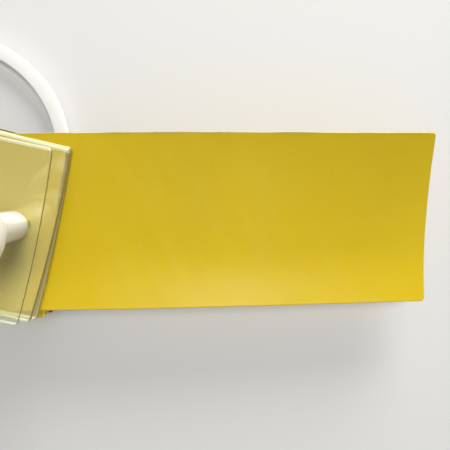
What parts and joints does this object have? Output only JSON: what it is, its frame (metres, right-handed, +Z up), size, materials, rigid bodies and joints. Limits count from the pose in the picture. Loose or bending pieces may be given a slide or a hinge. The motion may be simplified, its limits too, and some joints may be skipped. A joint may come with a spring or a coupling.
{
  "type": "welding curtain strip sample set",
  "caption": "Hand-size sample set of PVC welding-curtain strip: clear, tinted and opaque yellow strips that swing on a white binding post with a hand knob and a hang ring.",
  "frame": {"origin": "on the binding post's axis, at the underside of its base flange", "axes": "+Z up along the binding post; +X along the opaque yellow strip, from the post towards its free end"},
  "size_m": [0.3714, 0.1312, 0.09],
  "materials": {
    "tint_dark_green": "glossy, transparent tint",
    "tint_smoke_grey": "glossy, transparent tint",
    "tint_blue": "glossy, transparent tint",
    "tint_orange": "glossy, transparent tint",
    "tint_red": "glossy, transparent tint",
    "tint_bronze": "glossy, transparent tint",
    "tint_olive": "glossy, transparent tint",
    "tint_bright_yellow": "glossy, transparent tint",
    "pvc_yellow": "satin, opaque yellow",
    "pvc_clear": "glossy, clear with a slight haze",
    "white_nylon": "glossy moulded white",
    "zinc_steel": "zinc-plated"
  },
  "bodies": {
    "post": {"binding_post": "white_nylon"},
    "ring": {"hang_ring": "white_nylon"},
    "strip_dark_green": {"strip_dark_green": "tint_dark_green"},
    "strip_smoke_grey": {"strip_smoke_grey": "tint_smoke_grey"},
    "strip_blue": {"strip_blue": "tint_blue"},
    "strip_orange": {"strip_orange": "tint_orange"},
    "strip_red": {"strip_red": "tint_red"},
    "strip_bronze": {"strip_bronze": "tint_bronze"},
    "strip_olive": {"strip_olive": "tint_olive"},
    "strip_bright_yellow": {"strip_bright_yellow": "tint_bright_yellow"},
    "strip_yellow": {"strip_yellow": "pvc_yellow"},
    "strip_clear_middle": {"strip_clear_middle": "pvc_clear"},
    "strip_clear_thick": {"strip_clear_thick": "pvc_clear"},
    "strip_clear_thin": {"strip_clear_thin": "pvc_clear"},
    "sleeve": {"spacer_sleeve": "white_nylon"},
    "collar": {"collar_ring": "white_nylon"},
    "knob": {"knob_head": "white_nylon", "knob_stud": "zinc_steel", "knob_cap": "white_nylon"}
  },
  "joints": [
    {"name": "ring_swing", "type": "hinge", "parent": "post", "child": "ring", "pos_m": [0, 0, 0.00465], "axis": [0, 0, 1], "range_deg": [-180, 180]},
    {"name": "dark_green_swing", "type": "hinge", "parent": "post", "child": "strip_dark_green", "pos_m": [0, 0, 0.02], "axis": [0, 0, 1], "range_deg": [-180, 180]},
    {"name": "smoke_grey_swing", "type": "hinge", "parent": "post", "child": "strip_smoke_grey", "pos_m": [0, 0, 0.02], "axis": [0, 0, 1], "range_deg": [-180, 180]},
    {"name": "blue_swing", "type": "hinge", "parent": "post", "child": "strip_blue", "pos_m": [0, 0, 0.02], "axis": [0, 0, 1], "range_deg": [-180, 180]},
    {"name": "orange_swing", "type": "hinge", "parent": "post", "child": "strip_orange", "pos_m": [0, 0, 0.02], "axis": [0, 0, 1], "range_deg": [-180, 180]},
    {"name": "red_swing", "type": "hinge", "parent": "post", "child": "strip_red", "pos_m": [0, 0, 0.02], "axis": [0, 0, 1], "range_deg": [-180, 180]},
    {"name": "bronze_swing", "type": "hinge", "parent": "post", "child": "strip_bronze", "pos_m": [0, 0, 0.02], "axis": [0, 0, 1], "range_deg": [-180, 180]},
    {"name": "olive_swing", "type": "hinge", "parent": "post", "child": "strip_olive", "pos_m": [0, 0, 0.02], "axis": [0, 0, 1], "range_deg": [-180, 180]},
    {"name": "bright_yellow_swing", "type": "hinge", "parent": "post", "child": "strip_bright_yellow", "pos_m": [0, 0, 0.02], "axis": [0, 0, 1], "range_deg": [-180, 180]},
    {"name": "yellow_swing", "type": "hinge", "parent": "post", "child": "strip_yellow", "pos_m": [0, 0, 0.02], "axis": [0, 0, 1], "range_deg": [-180, 180]},
    {"name": "clear_middle_swing", "type": "hinge", "parent": "post", "child": "strip_clear_middle", "pos_m": [0, 0, 0.02], "axis": [0, 0, 1], "range_deg": [-180, 180]},
    {"name": "clear_thick_swing", "type": "hinge", "parent": "post", "child": "strip_clear_thick", "pos_m": [0, 0, 0.02], "axis": [0, 0, 1], "range_deg": [-180, 180]},
    {"name": "clear_thin_swing", "type": "hinge", "parent": "post", "child": "strip_clear_thin", "pos_m": [0, 0, 0.02], "axis": [0, 0, 1], "range_deg": [-180, 180]},
    {"name": "sleeve_spin", "type": "hinge", "parent": "post", "child": "sleeve", "pos_m": [0, 0, 0.052], "axis": [0, 0, 1], "continuous": true},
    {"name": "knob_lift", "type": "slide", "parent": "post", "child": "collar", "axis": [0, 0, 1], "range_m": [0, 0.0033]},
    {"name": "knob_turn", "type": "hinge", "parent": "collar", "child": "knob", "pos_m": [0, 0, 0.07], "axis": [0, 0, 1], "range_deg": [0, 1440]}
  ],
  "couplings": [
    {"joint": "knob_lift", "follows": "knob_turn", "m_per_rad": 0.00012732}
  ]
}
